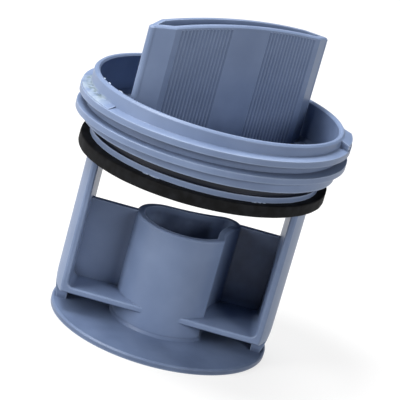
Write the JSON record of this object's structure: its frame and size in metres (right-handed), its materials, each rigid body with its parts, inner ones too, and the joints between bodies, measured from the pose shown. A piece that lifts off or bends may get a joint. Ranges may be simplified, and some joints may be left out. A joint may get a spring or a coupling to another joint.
{
  "type": "lint filter",
  "caption": "Screw-in lint filter for a washing machine drain pump: base disc, framed suction tube with side webs, threaded cap with ribbed hollow grip and rubber sealing ring.",
  "frame": {"origin": "middle of the base disc's underside, on the axis of the filter", "axes": "+Z along the axis from the base disc to the grip, X through the two legs"},
  "size_m": [0.0664, 0.0664, 0.079],
  "materials": {
    "moulded_plastic": "satin moulded polypropylene, blue grey",
    "seal_rubber": "matte black moulded rubber"
  },
  "bodies": {
    "root": {"filter_body": "moulded_plastic", "screw_cap": "moulded_plastic", "grip": "moulded_plastic", "sealing_ring": "seal_rubber"}
  },
  "joints": []
}
